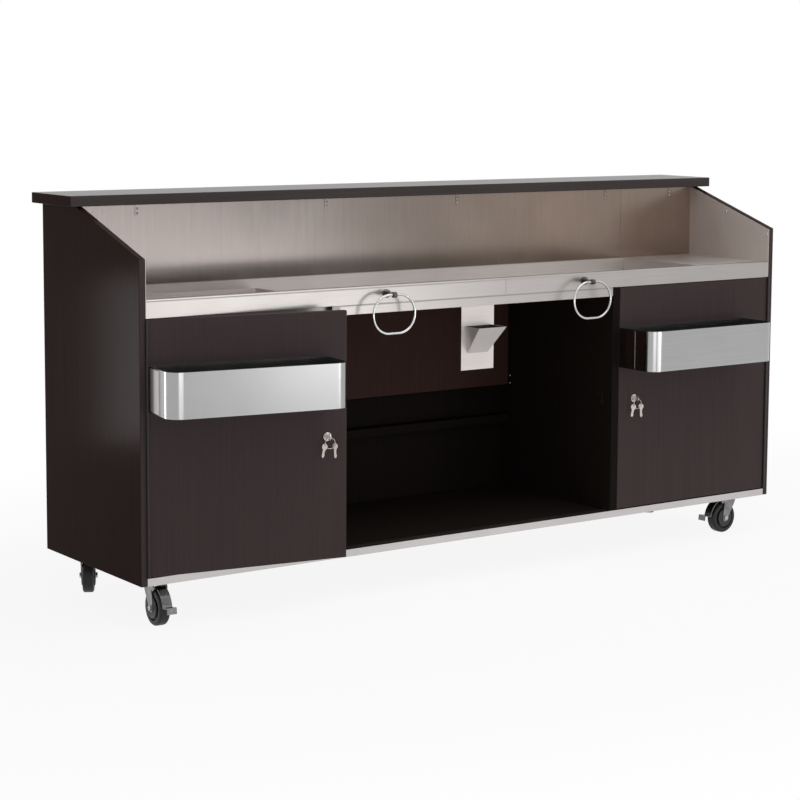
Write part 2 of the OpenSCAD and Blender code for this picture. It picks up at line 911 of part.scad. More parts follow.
module lock_strikes() {
    color(zinc) placed() {
        translate([left_wall_x, 0, 0]) strike();
        translate([right_wall_end, 0, 0]) mirror([1, 0, 0]) strike();
    }
}

// Casters

module caster_plates() {
    color(zinc) placed() difference() {
        for (i = [0 : 3]) translate([caster_x[i], caster_y[i], 0]) {
            translate([-plate_l / 2, -plate_w / 2, plate_z]) cube([plate_l, plate_w, plate_t]);
            translate([0, 0, race_z]) cylinder(r = race_r, h = race_h);
            translate([0, 0, crown_z - loose_fit]) cylinder(r = king_r, h = race_z - crown_z + loose_fit);
            translate([0, 0, crown_z - loose_fit - king_head_h]) cylinder(r = king_head_r, h = king_head_h);
        }
        at_bolts() translate([0, 0, plate_z - over])
            cylinder(r = bolt_r + bolt_fit, h = plate_t + 2 * over);
    }
}

module caster_bolts() {
    color(zinc) placed() at_bolts() {
        translate([0, 0, plate_z - bolt_head_h]) cylinder(r = bolt_head_r, h = bolt_head_h, $fn = 6);
        translate([0, 0, plate_z]) cylinder(r = bolt_r, h = plate_t + base_t);
    }
}

// Frame of a caster: Z is the swivel axis and X the side to which the wheel trails
module at_caster(i) {
    translate([caster_x[i], caster_y[i], 0]) rotate([0, 0, caster_heading[i]]) children();
}

// Fork leg: straight-sided from the crown to a round end at the axle, with an ear where a pedal turns
module leg_outline(braked) {
    difference() {
        union() {
            polygon([
                [-leg_top_w / 2, crown_top], [leg_top_w / 2 + trail / 2, crown_top],
                [trail + leg_end_r, axle_z], [trail - leg_end_r, axle_z],
                [-leg_top_w / 2, crown_z - leg_end_r]
            ]);
            translate([trail, axle_z]) circle(leg_end_r);
            if (braked) {
                translate([pedal_pin_x, pedal_pin_z]) circle(ear_r);
                translate([0, crown_z - leg_end_r]) square([pedal_pin_x, leg_end_r + crown_t]);
            }
        }
        translate([trail, axle_z]) circle(axle_r + run_fit);
        if (braked) translate([pedal_pin_x, pedal_pin_z]) circle(pedal_pin_r + run_fit);
    }
}

module fork(i, braked) {
    color(zinc) placed() at_caster(i) {
        difference() {
            translate([0, 0, crown_z]) linear_extrude(crown_t) union() {
                circle(crown_r);
                translate([-leg_top_w / 2, -leg_out]) square([leg_top_w + trail / 2, 2 * leg_out]);
            }
            translate([0, 0, crown_z - over]) cylinder(r = king_r + run_fit, h = crown_t + 2 * over);
        }
        for (y0 = [-leg_out, leg_in]) across(y0, y0 + leg_t) leg_outline(braked);
    }
}

module front_left_fork() fork(0, true);
module front_right_fork() fork(1, true);
module rear_left_fork() fork(2, false);
module rear_right_fork() fork(3, false);

// Axle bolt with its head and nut outside the fork legs
module axle(i) {
    color(zinc) placed() at_caster(i) translate([trail, 0, axle_z]) rotate([90, 0, 0]) {
        cylinder(r = axle_r, h = 2 * leg_out, center = true);
        for (side = [-1, 1]) translate([0, 0, side * (leg_out + axle_head_h / 2)])
            cylinder(r = axle_head_r, h = axle_head_h, center = true, $fn = 6);
    }
}

module front_left_axle() axle(0);
module front_right_axle() axle(1);
module rear_left_axle() axle(2);
module rear_right_axle() axle(3);

// Half section of a wheel: hub, dished side and a tyre with rounded edges
module wheel_section() {
    half = wheel_w / 2;
    r = wheel_d / 2;
    bore = axle_r + run_fit;
    translate([bore, -hub_w / 2]) square([leg_end_r - bore, hub_w]);
    translate([bore, rim_dish - half]) square([hub_r - bore, wheel_w - 2 * rim_dish]);
    translate([hub_r, -half]) square([r - tyre_edge_r - hub_r, wheel_w]);
    translate([r - tyre_edge_r, tyre_edge_r - half]) square([tyre_edge_r, wheel_w - 2 * tyre_edge_r]);
    intersection() {
        for (y = [tyre_edge_r - half, half - tyre_edge_r])
            translate([r - tyre_edge_r, y]) circle(tyre_edge_r, $fn = 32);
        translate([hub_r, -half]) square([r - hub_r, wheel_w]);
    }
}

module wheel(i) {
    color(rubber) placed() at_caster(i) translate([trail, 0, axle_z]) rotate([90, 0, 0])
        rotate_extrude() wheel_section();
}

module front_left_wheel() wheel(0);
module front_right_wheel() wheel(1);
module rear_left_wheel() wheel(2);
module rear_right_wheel() wheel(3);

// Brake pedal: a band round the tyre, a lipped toe plate and a pivot between the fork's ears
module pedal_outline() {
    reach = pedal_r + pedal_toe;
    translate([trail, axle_z]) {
        intersection() {
            difference() {
                circle(pedal_r + pedal_t);
                circle(pedal_r);
            }
            polygon([
                [0, 0],
                2 * reach * [cos(pedal_toe_angle), sin(pedal_toe_angle)],
                2 * reach * [cos(pedal_top_angle), sin(pedal_top_angle)]
            ]);
        }
        rotate(pedal_toe_angle) {
            translate([pedal_r, 0]) square([pedal_toe, pedal_t]);
            translate([pedal_r + pedal_toe - pedal_t, -pedal_lip]) square([pedal_t, pedal_lip + pedal_t]);
        }
    }
}

module pedal(i) {
    color(zinc) placed() at_caster(i) {
        across(-pedal_w / 2, pedal_w / 2) {
            pedal_outline();
            translate([pedal_pin_x, pedal_pin_z]) circle(pedal_boss_r);
        }
        translate([pedal_pin_x, 0, pedal_pin_z]) rotate([90, 0, 0])
            cylinder(r = pedal_pin_r, h = 2 * leg_out, center = true);
    }
}

module front_left_pedal() pedal(0);
module front_right_pedal() pedal(1);

left_end_panel();
right_end_panel();
customer_panel();
bar_top();
base_shelf();
base_edge_strip();
left_bay_wall();
right_bay_wall();
bay_skirt();
rear_stretcher();
backsplash();
side_liners();
work_deck();
deck_plates();
well_walls();
bay_lip();
ice_bin();
ice_bin_jacket();
ice_bin_drain();
ring_posts();
cap_catcher();
frame_leaves();
hinge_pins();
lock_strikes();
right_cabinet_shelf();
shelf_cleats();
caster_plates();
caster_bolts();
left_door();
left_door_leaf();
left_speed_rail();
left_lock_barrel();
left_lock_plug();
left_lock_cam();
left_lock_key();
left_spare_key();
right_door();
right_door_leaf();
right_speed_rail();
right_lock_barrel();
right_lock_plug();
right_lock_cam();
right_lock_key();
right_spare_key();
left_towel_ring();
right_towel_ring();
front_left_fork();
front_right_fork();
rear_left_fork();
rear_right_fork();
front_left_axle();
front_right_axle();
rear_left_axle();
rear_right_axle();
front_left_wheel();
front_right_wheel();
rear_left_wheel();
rear_right_wheel();
front_left_pedal();
front_right_pedal();
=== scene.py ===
import json
import math

import bmesh
import bpy
from mathutils import Matrix, Vector


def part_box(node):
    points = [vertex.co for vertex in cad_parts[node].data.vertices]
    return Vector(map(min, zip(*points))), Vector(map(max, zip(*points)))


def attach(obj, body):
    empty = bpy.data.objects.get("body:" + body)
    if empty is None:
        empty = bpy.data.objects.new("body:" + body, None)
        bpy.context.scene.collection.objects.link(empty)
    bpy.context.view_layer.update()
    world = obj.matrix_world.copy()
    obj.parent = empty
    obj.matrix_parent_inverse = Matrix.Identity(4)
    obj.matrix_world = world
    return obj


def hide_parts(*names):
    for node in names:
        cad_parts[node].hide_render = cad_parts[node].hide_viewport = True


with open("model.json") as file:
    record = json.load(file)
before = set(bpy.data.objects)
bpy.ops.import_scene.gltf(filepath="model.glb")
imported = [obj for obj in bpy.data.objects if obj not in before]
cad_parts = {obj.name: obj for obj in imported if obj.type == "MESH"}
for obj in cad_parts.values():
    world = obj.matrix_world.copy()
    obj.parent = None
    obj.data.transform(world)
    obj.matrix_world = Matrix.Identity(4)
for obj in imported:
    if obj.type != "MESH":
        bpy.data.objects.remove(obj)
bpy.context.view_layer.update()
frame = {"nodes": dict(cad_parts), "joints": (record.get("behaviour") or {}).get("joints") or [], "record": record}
record = frame["record"]
nodeObjects = frame["nodes"]
jointOf = {joint["name"]: joint for joint in frame["joints"]}
bodyOf = {node: body for body, members in record["behaviour"]["bodies"].items() for node in members}
slotOf = {row["node"]: row["material_slot"] for row in record["subparts"]}
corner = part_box("left_end_panel")[0]
casters = ("front_left", "front_right", "rear_left", "rear_right")
print("stage 1: frame loaded,", len(nodeObjects), "nodes")


def rowPoint(x, y, z):
    # millimetres from the cabinet's left front corner on the floor, to metres in the row frame
    return Vector((corner.x + x / 1000, corner.y + y / 1000, z / 1000))


# Each door has a frame of its own: x runs from the hinge along the door, y to the back, 0 at the hinge pin
doors = {
    "left": {
        "hinge": (20.5, -4.0), "ajar": math.radians(8.5), "mirror": 1, "body": "left_door_set", "railStart": 7.0,
    },
    "right": {
        "hinge": (2299.5, -4.0), "ajar": 0.0, "mirror": -1, "body": "right_door_set", "railStart": 112.5,
    },
}


def doorPoint(side, x, y, z):
    door = doors[side]
    c, s = math.cos(door["ajar"]), math.sin(door["ajar"])
    return rowPoint(door["hinge"][0] + door["mirror"] * (x * c + y * s), door["hinge"][1] - x * s + y * c, z)


def doorWay(side, x, y):
    return (doorPoint(side, x, y, 0) - doorPoint(side, 0, 0, 0)).normalized()


class Wire:
    # an output socket whose arithmetic adds maths nodes to its tree
    def __init__(self, tree, node, output=0):
        self.tree, self.node, self.socket = tree, node, node.outputs[output]

    def pick(self, output):
        return Wire(self.tree, self.node, output)

    def maths(self, operation, first, second):
        return self.tree.add("ShaderNodeMath", {"operation": operation}, {0: first, 1: second})

    def larger(self, other):
        return self.maths("MAXIMUM", self, other)

    def __add__(self, other):
        return self.maths("ADD", self, other)

    def __radd__(self, other):
        return self.maths("ADD", other, self)

    def __sub__(self, other):
        return self.maths("SUBTRACT", self, other)

    def __rsub__(self, other):
        return self.maths("SUBTRACT", other, self)

    def __mul__(self, other):
        return self.maths("MULTIPLY", self, other)

    def __rmul__(self, other):
        return self.maths("MULTIPLY", other, self)


class Tree:
    # a node tree, for a material, the room or geometry, whose nodes all come from add()
    def __init__(self, nodeTree):
        self.nodeTree = nodeTree
        nodeTree.nodes.clear()

    def add(self, kind, settings=None, sockets=None, output=0):
        node = self.nodeTree.nodes.new(kind)
        for key, value in (settings or {}).items():
            if key == "stops":
                elements = node.color_ramp.elements
                while len(elements) < len(value):
                    elements.new(1.0)
                for element, (place, colour) in zip(elements, value):
                    element.position, element.color = place, (*colour, 1)
            else:
                setattr(node, key, value)
        for key, value in (sockets or {}).items():
            if isinstance(value, Wire):
                self.nodeTree.links.new(value.socket, node.inputs[key])
            else:
                node.inputs[key].default_value = value
        return Wire(self, node, output) if node.outputs else None

    def times(self, first, second):
        return self.add("ShaderNodeVectorMath", {"operation": "MULTIPLY"}, {0: first, 1: second})

    def stretched(self, scale):
        return self.times(self.add("ShaderNodeTexCoord", output="Object"), scale)

    def noise(self, scale, detail):
        return self.add("ShaderNodeTexNoise", {}, {"Vector": self.stretched(scale), "Scale": 1.0, "Detail": detail})

    def ramp(self, factor, *stops):
        return self.add("ShaderNodeValToRGB", {"stops": stops}, {0: factor})

    def bump(self, height, strength, distance):
        return self.add("ShaderNodeBump", {}, {"Height": height, "Strength": strength, "Distance": distance})


def newLook(name, build):
    material = bpy.data.materials.new(name)
    material.use_nodes = True
    tree = Tree(material.node_tree)
    surface = tree.add("ShaderNodeBsdfPrincipled", {}, build(tree))
    tree.add("ShaderNodeOutputMaterial", {}, {"Surface": surface})
    return material


# Dark laminate: long pores along the grain over a faint cloudy figure
laminate = {
    "upright": (170, 170, 2.4), "along": (2.4, 170, 170), "poreTimes": 3.2, "figure": (1.4, 1.4, 1.4),
    "details": (4.0, 3.0, 2.0), "shares": (0.5, 0.22, 0.28),  # of grain, pores and figure
    "stops": (0.32, 0.68), "roughSwing": 0.16,
    "reliefShares": (0.6, 0.4), "relief": (0.09, 0.0004),  # of pores and grain; strength and depth
    "face": ((0.0440, 0.0318, 0.0321), (0.0555, 0.0408, 0.0412)),
    "edge": ((0.0440, 0.0360, 0.0355), (0.0580, 0.0480, 0.0475)),
    # painted shade: darker, redder tones for the ends, which face away from the light
    "end": ((0.0220, 0.0100, 0.0080), (0.0310, 0.0150, 0.0124)),
    "skirt": ((0.0370, 0.0185, 0.0155), (0.0520, 0.0260, 0.0220)),
    # painted shade: much darker tones for the inside of the bay and its shelf
    "inside": ((0.0110, 0.0080, 0.0068), (0.0170, 0.0122, 0.0105)),
    # painted shade: darker still, for the back of the bay and the bay walls' front edges
    "behind": ((0.0062, 0.0045, 0.0039), (0.0096, 0.0070, 0.0061)),
}


def laminateLook(name, grainWay, tones, rough, shine):
    grainShare, poreShare, figureShare = laminate["shares"]
    poreRelief, grainRelief = laminate["reliefShares"]
    grainDetail, poreDetail, figureDetail = laminate["details"]

    def build(tree):
        way = laminate[grainWay]
        grain = tree.noise(way, grainDetail)
        pores = tree.noise([v * laminate["poreTimes"] for v in way], poreDetail)
        figure = tree.noise(laminate["figure"], figureDetail)
        mixed = grain * grainShare + pores * poreShare + figure * figureShare
        return {
            "Base Color": tree.ramp(mixed, *zip(laminate["stops"], tones)),
            "Roughness": mixed * laminate["roughSwing"] + rough,
            "Normal": tree.bump(pores * poreRelief + grain * grainRelief, *laminate["relief"]),
            "Specular IOR Level": shine,
        }
    return newLook(name, build)


# Satin stainless sheet: fine drawn lines, hand smudges and a slow drift of tone
steel = {
    "along": (5.0, 900, 900), "upright": (900, 900, 5.0), "smudge": (7, 7, 7), "drift": (0.9, 0.9, 0.9),
    "details": (2.0, 4.0, 1.0), "shares": (0.42, 0.22, 0.36),  # of lines, smudge and drift
    "stops": (0.34, 0.66), "roughShares": (0.08, 0.1), "roughMiddle": 0.09, "relief": (0.035, 0.0002),
    "tintScale": (0.43, 0.43, 0.43), "tintMiddle": 0.5,  # one end of the cabinet at 0, the other at 1
    # painted reflection: the backsplash's tone shifts from cool at the left end to warm at the right, standing in
    # for what it reflects
    "splashPaintedReflection": (
        (0.0, (0.85, 0.89, 0.95)), (0.33, (0.84, 0.87, 0.92)), (0.5, (0.80, 0.785, 0.78)),
        (0.72, (0.97, 0.87, 0.81)), (1.0, (1.0, 0.91, 0.86)),
    ),
}


def steelLook(name, grainWay, tone, spread, rough, tint=(), metal=1.0):
    lineShare, smudgeShare, driftShare = steel["shares"]
    lineRough, smudgeRough = steel["roughShares"]
    lineDetail, smudgeDetail, driftDetail = steel["details"]
    tones = [tuple(v * times for v in tone) for times in (1 - spread, 1 + spread)]

    def build(tree):
        lines = tree.noise(steel[grainWay], lineDetail)
        smudge = tree.noise(steel["smudge"], smudgeDetail)
        drift = tree.noise(steel["drift"], driftDetail)
        mixed = lines * lineShare + smudge * smudgeShare + drift * driftShare
        colour = tree.ramp(mixed, *zip(steel["stops"], tones))
        # the tint painted across the cabinet is a painted reflection
        if tint:
            across = tree.add("ShaderNodeSeparateXYZ", {}, {0: tree.stretched(steel["tintScale"])})
            colour = tree.times(colour, tree.ramp(across + steel["tintMiddle"], *tint))
        return {
            "Base Color": colour,
            "Roughness": lines * lineRough + smudge * smudgeRough + (rough - steel["roughMiddle"]),
            "Normal": tree.bump(lines, *steel["relief"]),
            "Metallic": metal,
        }
    return newLook(name, build)


# Plated metal: a smooth face with faint mottling and small scuffs
plated = {
    "scuffTimes": (6, 6, 1.4), "details": (3.0, 2.0), "shares": (0.7, 0.3),  # of mottle and scuff
    "stops": (0.34, 0.66), "roughShare": 0.08, "roughMiddle": 0.08, "relief": (0.02, 0.0002),
}


def platedLook(name, low, high, rough, size):
    mottleShare, scuffShare = plated["shares"]
    mottleDetail, scuffDetail = plated["details"]

    def build(tree):
        mottle = tree.noise((size, size, size), mottleDetail)
        scuff = tree.noise([size * v for v in plated["scuffTimes"]], scuffDetail)
        share = plated["roughShare"]
        return {
            "Base Color": tree.ramp(mottle * mottleShare + scuff * scuffShare, *zip(plated["stops"], (low, high))),
            "Roughness": mottle * share + scuff * share + (rough - plated["roughMiddle"]),
            "Normal": tree.bump(scuff, *plated["relief"]),
            "Metallic": 1.0,
        }
    return newLook(name, build)


# Rubber, foam and black paint: a fine even grain with a dusty cloud over it
matt = {
    "grainTimes": 8, "detail": 3.0, "shares": (0.65, 0.35),  # of dust and grain
    "stops": (0.34, 0.66), "roughSwing": 0.16, "depth": 0.0003, "shine": 0.3,
}


def mattLook(name, low, high, rough, size, relief):
    dustShare, grainShare = matt["shares"]

    def build(tree):
        grain = tree.noise([size * matt["grainTimes"]] * 3, matt["detail"])
        dust = tree.noise((size, size, size), matt["detail"])
        return {
            "Base Color": tree.ramp(dust * dustShare + grain * grainShare, *zip(matt["stops"], (low, high))),
            "Roughness": dust * matt["roughSwing"] + rough,
            "Normal": tree.bump(grain, relief, matt["depth"]),
            "Specular IOR Level": matt["shine"],
        }
    return newLook(name, build)


looks = {
    "laminate": laminateLook("laminateUpright", "upright", laminate["face"], 0.38, 0.05),
    "laminateAlong": laminateLook("laminateAlong", "along", laminate["edge"], 0.38, 0.05),
    "laminateTop": laminateLook("laminateTop", "along", laminate["edge"], 0.26, 0.42),
    # painted shade: a darker, redder copy of the laminate for the end panels and the bar top's ends
    "laminateEndPaintedShade": laminateLook("laminateEndPaintedShade", "upright", laminate["end"], 0.07, 0.009),
    "laminateSkirt": laminateLook("laminateSkirt", "upright", laminate["skirt"], 0.44, 0.04),
    # painted shade: darker copies of the laminate for the bay's walls, its back and the shelf
    "laminateInsidePaintedShade": laminateLook("laminateInsidePaintedShade", "upright", laminate["inside"], 0.44, 0.04),
    "laminateBehindPaintedShade": laminateLook("laminateBehindPaintedShade", "upright", laminate["behind"], 0.44, 0.03),
    "laminate_edge": laminateLook("laminateShelfPaintedShade", "along", laminate["inside"], 0.44, 0.06),
    "stainless": steelLook("stainlessAlong", "along", (0.385, 0.362, 0.350), 0.10, 0.21),
    "stainlessApron": steelLook("stainlessApron", "along", (0.385, 0.362, 0.350), 0.10, 0.31),
    # painted shade: a darker copy of the steel for the door stops, the lip's end and the line under the apron's hem,
    # which sit in shade
    "stainlessPaintedShade": steelLook("stainlessPaintedShade", "along", (0.270, 0.254, 0.245), 0.10, 0.40),
    "stainlessRail": steelLook("stainlessRail", "along", (0.372, 0.370, 0.374), 0.08, 0.20),
    "stainlessLap": steelLook("stainlessLap", "upright", (0.40, 0.38, 0.385), 0.10, 0.50),
    # painted shade and reflection: a darker, browner copy of the steel for the backsplash and its clips, under the
    # bar top
    "stainlessUprightShadeAndReflection": steelLook(
        "stainlessUprightShadeAndReflection", "upright", (0.234, 0.199, 0.176), 0.18, 0.24, steel["splashPaintedReflection"]
    ),
    "stainlessDeck": steelLook("stainlessDeck", "along", (0.58, 0.545, 0.525), 0.10, 0.42),
    "stainlessLiner": steelLook("stainlessLiner", "upright", (0.64, 0.585, 0.55), 0.10, 0.60),
    "stainlessStrip": steelLook("stainlessStrip", "along", (0.53, 0.505, 0.50), 0.10, 0.30),
    "stainlessCatcher": steelLook("stainlessCatcher", "along", (0.64, 0.60, 0.585), 0.10, 0.46, metal=0.45),
    "seam": mattLook("steelSeam", (0.05, 0.045, 0.042), (0.10, 0.09, 0.085), 0.5, 60, 0.02),
    # painted shade: a darkened copy of the plating for the towel ring posts
    "postSteelPaintedShade": platedLook("postSteelPaintedShade", (0.085, 0.080, 0.078), (0.150, 0.142, 0.140), 0.26, 40),
    # painted shade: darker copies of the zinc plate for the caster forks and the brake pedals
    "forkZincPaintedShade": platedLook("forkZincPaintedShade", (0.17, 0.166, 0.168), (0.28, 0.276, 0.278), 0.30, 55),
    "pedalZincPaintedShade": platedLook("pedalZincPaintedShade", (0.10, 0.098, 0.099), (0.17, 0.167, 0.168), 0.28, 55),
    "keyNickel": platedLook("keyNickel", (0.52, 0.455, 0.425), (0.66, 0.59, 0.555), 0.30, 90),
    "zinc": platedLook("zincPlate", (0.30, 0.295, 0.295), (0.50, 0.495, 0.495), 0.30, 55),
    "chrome": platedLook("chromePlate", (0.46, 0.455, 0.455), (0.60, 0.595, 0.595), 0.13, 28),
    "hinge_black": mattLook("hingeBlack", (0.016, 0.014, 0.013), (0.026, 0.022, 0.021), 0.36, 80, 0.05),
    "tyre": mattLook("tyreRubber", (0.011, 0.0105, 0.0115), (0.024, 0.0235, 0.025), 0.42, 70, 0.12),
    "hub": mattLook("hubPlastic", (0.030, 0.029, 0.030), (0.046, 0.045, 0.046), 0.36, 60, 0.05),
    "foam": mattLook("foamJacket", (0.55, 0.51, 0.42), (0.66, 0.62, 0.52), 0.68, 110, 0.3),
}
# nodes whose look isn't the plain one of their slot
otherLook = {
    "left_end_panel": "laminateEndPaintedShade", "right_end_panel": "laminateEndPaintedShade", "bar_top": "laminateAlong",
    "bay_skirt": "laminateSkirt", "left_bay_wall": "laminateInsidePaintedShade", "right_bay_wall": "laminateInsidePaintedShade",
    "right_cabinet_shelf": "laminateInsidePaintedShade", "rear_stretcher": "laminateBehindPaintedShade",
    "backsplash": "stainlessUprightShadeAndReflection", "side_liners": "stainlessLiner", "ice_bin": "stainlessLiner",
    "base_edge_strip": "stainlessStrip", "cap_catcher": "stainlessCatcher",
    "deck_plates": "stainlessDeck", "well_walls": "stainlessDeck",
    "work_deck": "stainlessApron", "bay_lip": "stainlessApron",
    "left_speed_rail": "stainlessRail", "right_speed_rail": "stainlessRail", "ring_posts": "postSteelPaintedShade",
    "front_left_pedal": "pedalZincPaintedShade", "front_right_pedal": "pedalZincPaintedShade",
    "left_lock_key": "keyNickel", "right_lock_key": "keyNickel",
    **{caster + "_fork": "forkZincPaintedShade" for caster in casters},
}


def lookFor(node):
    return looks[otherLook.get(node, slotOf[node])]


for name, thing in nodeObjects.items():
    for place in thing.material_slots:
        place.material = lookFor(name)
print("stage 2: looks on the CAD nodes,", len(looks), "looks")


def addPiece(name, mesh, body, slot, look=None, replaces=()):
    thing = bpy.data.objects.new(name, mesh)
    bpy.context.scene.collection.objects.link(thing)
    if not mesh.materials:
        mesh.materials.append(look or looks[slot])
    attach(thing, body)
    if replaces:
        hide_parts(*replaces)


def plainMesh(made, name):
    mesh = bpy.data.meshes.new(name)
    made.to_mesh(mesh)
    made.free()
    return mesh


def closedMesh(made, name):
    bmesh.ops.remove_doubles(made, verts=made.verts, dist=1e-7)
    bmesh.ops.recalc_face_normals(made, faces=made.faces)
    return plainMesh(made, name)


def roundEdges(made, edges, rounding):
    bmesh.ops.bevel(made, geom=edges, offset=rounding, segments=2, affect="EDGES", profile=0.5)


def oblong(low, high):
    return [(low[0], low[1]), (high[0], low[1]), (high[0], high[1]), (low[0], high[1])]


def slabMesh(name, outline, depth, rounding=0):
    # a flat plate: an outline of points pushed along a vector, with its edges rounded
    made = bmesh.new()
    near = [made.verts.new(p) for p in outline]
    far = [made.verts.new(p + depth) for p in outline]
    made.faces.new(near)
    made.faces.new(list(reversed(far)))
    for i in range(len(near)):
        k = (i + 1) % len(near)
        made.faces.new((near[i], far[i], far[k], near[k]))
    if rounding:
        roundEdges(made, made.edges[:], rounding)
    return closedMesh(made, name)


def angles(count):
    return [2 * math.pi * k / count for k in range(count)]


def turnedRings(made, profile, around, centre, axis):
    # a ring of points round an axis for each (radius, height) pair
    turn = Vector(axis).to_track_quat("Z", "Y")
    return [
        [made.verts.new(centre + turn @ Vector((r * math.cos(a), r * math.sin(a), h))) for a in angles(around)]
        for r, h in profile
    ]


def bridge(made, rings, closed=False):
    # smooth faces between each ring and the next
    after = rings[1:] + rings[:1] if closed else rings[1:]
    for low, high in zip(rings, after):
        for k in range(len(low)):
            n = (k + 1) % len(low)
            made.faces.new((low[k], low[n], high[n], high[k])).smooth = True


# Laminate boards with the small rounding of their edge band, in metres, and faces with a look of their own
boards = {
    "left_end_panel": 0.0016, "right_end_panel": 0.0016, "customer_panel": 0.001, "bar_top": 0.0024,
    "left_bay_wall": 0.0014, "right_bay_wall": 0.0014, "left_door": 0.0016, "right_door": 0.0016,
    "bay_skirt": 0.001, "right_cabinet_shelf": 0.001,
}
# painted shade on the bar top's ends, the customer panel's inner face and the bay walls' front edges; a shinier
# finish on the bar top
boardFaces = {
    "left_end_panel": [("laminate", (0, -1, 0))], "right_end_panel": [("laminate", (0, -1, 0))],
    "bar_top": [("laminateTop", (0, 0, 1)), ("laminateEndPaintedShade", (1, 0, 0)), ("laminateEndPaintedShade", (-1, 0, 0))],
    "customer_panel": [("laminateBehindPaintedShade", (0, -1, 0))],
    "left_bay_wall": [("laminateBehindPaintedShade", (0, -1, 0))], "right_bay_wall": [("laminateBehindPaintedShade", (0, -1, 0))],
}
boardEdges = {"merge": 1e-6, "flat": math.radians(0.5), "shortest": 0.012, "sharp": 0.3, "facing": 0.6}


def softBoard(node, rounding):
    made = bmesh.new()
    made.from_mesh(nodeObjects[node].data)
    bmesh.ops.remove_doubles(made, verts=made.verts, dist=boardEdges["merge"])
    bmesh.ops.dissolve_limit(made, angle_limit=boardEdges["flat"], verts=made.verts, edges=made.edges)
    sharp = [
        e for e in made.edges
        if e.is_manifold and e.calc_length() > boardEdges["shortest"] and e.calc_face_angle(0) > boardEdges["sharp"]
    ]
    roundEdges(made, sharp, rounding)
    mesh = closedMesh(made, node + "_board")
    mesh.materials.clear()
    mesh.materials.append(lookFor(node))
    for index, (look, way) in enumerate(boardFaces.get(node, ()), 1):
        mesh.materials.append(looks[look])
        for face in mesh.polygons:
            if face.normal.dot(Vector(way)) > boardEdges["facing"]:
                face.material_index = index
    addPiece(node + "_board", mesh, bodyOf[node], slotOf[node], None, [node])


for node, rounding in boards.items():
    softBoard(node, rounding)
print("stage 3: boards rounded,", len(boards))

# Folded clips that hold the backsplash under the bar top
clips = {
    "places": (195, 830, 1318, 1924, 2205), "splash": 374, "width": 13, "low": 1092, "high": 1125.6, "lip": 9,
    "thick": 1.1, "rounding": 0.0003,
}
clipFace = clips["splash"] - clips["thick"]


def clipMesh(x):
    wall, lip, under = clips["splash"], clips["splash"] - clips["lip"], clips["high"] - clips["thick"]
    outline = [
        rowPoint(x - clips["width"] / 2, y, z) for y, z in (
            (wall, clips["low"]), (clipFace, clips["low"]), (clipFace, under),
            (lip, under), (lip, clips["high"]), (wall, clips["high"]),
        )
    ]
    return slabMesh("splashClip", outline, Vector((clips["width"] / 1000, 0, 0)), clips["rounding"])


for i, x in enumerate(clips["places"], 1):
    addPiece("splash_clip_%d" % i, clipMesh(x), "cabinet", "stainless", looks["stainlessUprightShadeAndReflection"])
print("stage 4: clips placed,", len(clips["places"]))

# Pan-head screws on points that carry the way each head faces, one set for each body
screws = {
    "size": 1.0, "headRadius": 0.0036, "headHeight": 0.0019, "crown": 0.02, "rings": 5, "around": 20,
    "slotLength": 0.0042, "slotWidth": 0.0009, "slotDepth": 0.0003,
    "clipHeights": (1113, 1100),
    "linerFaces": (2299.8, 20.2), "linerSpots": ((8, 860), (8, 985), (200, 1050)),  # right and left liner
    "bayFaces": (1640, 632), "baySpots": ((510, 490), (510, 515)),  # right and left bay wall
    "railSpots": (70, 190, 310, 430), "railHeight": 694, "railFace": 2.5,
}


def cabinetSpots():
    spots = [(rowPoint(x, clipFace, z), (0, -1, 0)) for x in clips["places"] for z in screws["clipHeights"]]
    for faces, places in (("linerFaces", "linerSpots"), ("bayFaces", "baySpots")):
        for x, way in zip(screws[faces], (-1, 1)):
            spots += [(rowPoint(x, y, z), (way, 0, 0)) for y, z in screws[places]]
    return spots


def railSpots(side):
    start = doors[side]["railStart"]
    return [
        (doorPoint(side, start + x, screws["railFace"], screws["railHeight"]), doorWay(side, 0, -1))
        for x in screws["railSpots"]
    ]


def headMesh():
    made = bmesh.new()
    steps = [math.pi / 2 * i / (screws["rings"] - 1) for i in range(screws["rings"])]
    profile = [
        (screws["headRadius"] * max(math.cos(a), screws["crown"]), screws["headHeight"] * math.sin(a))
        for a in steps
    ]
    rings = turnedRings(made, profile, screws["around"], Vector((0, 0, 0)), (0, 0, 1))
    bridge(made, rings)
    made.faces.new(rings[-1]).smooth = True
    return plainMesh(made, "screwHead")


# painted shade: a dark cross on each head stands for the shade in its slots
def crossMesh():
    made = bmesh.new()
    for long, wide in ((screws["slotLength"], screws["slotWidth"]), (screws["slotWidth"], screws["slotLength"])):
        bar = bmesh.ops.create_cube(made, size=1.0)["verts"]
        bmesh.ops.scale(made, vec=(long, wide, screws["slotDepth"]), verts=bar)
        bmesh.ops.translate(made, vec=(0, 0, screws["headHeight"]), verts=bar)
    return plainMesh(made, "screwCross")


